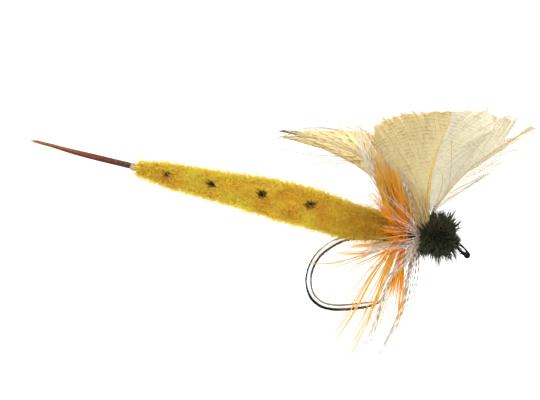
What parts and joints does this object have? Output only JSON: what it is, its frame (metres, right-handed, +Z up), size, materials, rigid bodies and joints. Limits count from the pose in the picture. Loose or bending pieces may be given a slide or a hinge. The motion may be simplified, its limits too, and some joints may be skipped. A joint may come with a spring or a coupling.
{
  "type": "dry fly",
  "caption": "Big mayfly dry fly: detached fuzzy yellow body on a short hook, long tail, upright wings, orange and barred hackles and a herl thorax.",
  "frame": {"origin": "middle of the hole in the hook's eye", "axes": "+X forward, from the bend to the eye; +Z up, to the wing tips; +Y to the fly's left, away from the camera"},
  "size_m": [0.0432, 0.0166, 0.0212],
  "materials": {
    "hook": "bright nickelled wire",
    "thread_base": "waxed dark thread",
    "body_core": "clear stiff core",
    "body_pile": "golden yellow velvety pile with dark marker spots",
    "tail_wraps": "pale thread",
    "tail_fibres": "red-brown feather fibres",
    "body_core_tag": "clear stiff core, lashed end",
    "body_tie_wraps": "thread under the orange hackle",
    "hackle_gap_wraps": "black thread between the hackles",
    "orange_hackle_quill": "wound feather quill",
    "orange_hackle_barbs": "bright orange barbs with pale tips",
    "grizzly_hackle_quill": "wound feather quill",
    "grizzly_hackle_barbs": "cream barbs barred with grey-brown",
    "near_wing_butt": "bound quill end",
    "far_wing_butt": "bound quill end",
    "rear_feather_butt": "bound quill end",
    "wing_root_wraps": "dark thread",
    "near_wing_quill": "yellow quill",
    "near_wing_rear_web": "straw-coloured web with fine wavy bars",
    "near_wing_front_web": "pale cream web with fine wavy bars",
    "far_wing_quill": "orange-yellow quill",
    "far_wing_rear_web": "pale cream web with fine wavy bars",
    "far_wing_front_web": "thin whitish web",
    "rear_feather_quill": "straw quill",
    "rear_feather_upper_web": "straw web with grey-olive bars",
    "rear_feather_lower_web": "straw web with grey-olive bars",
    "head_wraps": "black thread",
    "head_cement": "glossy clear coat over black thread",
    "herl_quill": "wound herl stems",
    "herl_flue": "dark green-black peacock flue"
  },
  "bodies": {
    "hook_and_dressing": {"hook": "hook", "thread_base": "thread_base", "body_core_tag": "body_core_tag", "body_tie_wraps": "body_tie_wraps", "hackle_gap_wraps": "hackle_gap_wraps", "orange_hackle_quill": "orange_hackle_quill", "orange_hackle_barbs": "orange_hackle_barbs", "grizzly_hackle_quill": "grizzly_hackle_quill", "grizzly_hackle_barbs": "grizzly_hackle_barbs", "near_wing_butt": "near_wing_butt", "far_wing_butt": "far_wing_butt", "rear_feather_butt": "rear_feather_butt", "wing_root_wraps": "wing_root_wraps", "head_wraps": "head_wraps", "head_cement": "head_cement", "herl_quill": "herl_quill", "herl_flue": "herl_flue"},
    "detached_body": {"body_core": "body_core", "body_pile": "body_pile", "tail_wraps": "tail_wraps"},
    "tail": {"tail_fibres": "tail_fibres"},
    "near_wing": {"near_wing_quill": "near_wing_quill", "near_wing_rear_web": "near_wing_rear_web", "near_wing_front_web": "near_wing_front_web"},
    "far_wing": {"far_wing_quill": "far_wing_quill", "far_wing_rear_web": "far_wing_rear_web", "far_wing_front_web": "far_wing_front_web"},
    "rear_feather": {"rear_feather_quill": "rear_feather_quill", "rear_feather_upper_web": "rear_feather_upper_web", "rear_feather_lower_web": "rear_feather_lower_web"}
  },
  "joints": [
    {"name": "body_flex", "type": "hinge", "parent": "hook_and_dressing", "child": "detached_body", "pos_m": [-0.00655, 0, 0.00202], "axis": [0, 1, 0], "range_deg": [-8, 15], "stiffness_Nm_per_rad": 0.0003},
    {"name": "tail_flex", "type": "hinge", "parent": "detached_body", "child": "tail", "pos_m": [-0.0284, 0, 0.00718], "axis": [0, 1, 0], "range_deg": [-15, 15], "stiffness_Nm_per_rad": 0.000004},
    {"name": "near_wing_flex", "type": "hinge", "parent": "hook_and_dressing", "child": "near_wing", "pos_m": [-0.003, -0.00038, 0.0031], "axis": [0, 1, 0], "range_deg": [-25, 10], "stiffness_Nm_per_rad": 0.00002},
    {"name": "far_wing_flex", "type": "hinge", "parent": "hook_and_dressing", "child": "far_wing", "pos_m": [-0.00242, 0.00038, 0.0032], "axis": [0, 1, 0], "range_deg": [-25, 10], "stiffness_Nm_per_rad": 0.00002},
    {"name": "rear_feather_flex", "type": "hinge", "parent": "hook_and_dressing", "child": "rear_feather", "pos_m": [-0.00355, 0.00006, 0.00295], "axis": [0, 1, 0], "range_deg": [-8, 12], "stiffness_Nm_per_rad": 0.00001}
  ]
}
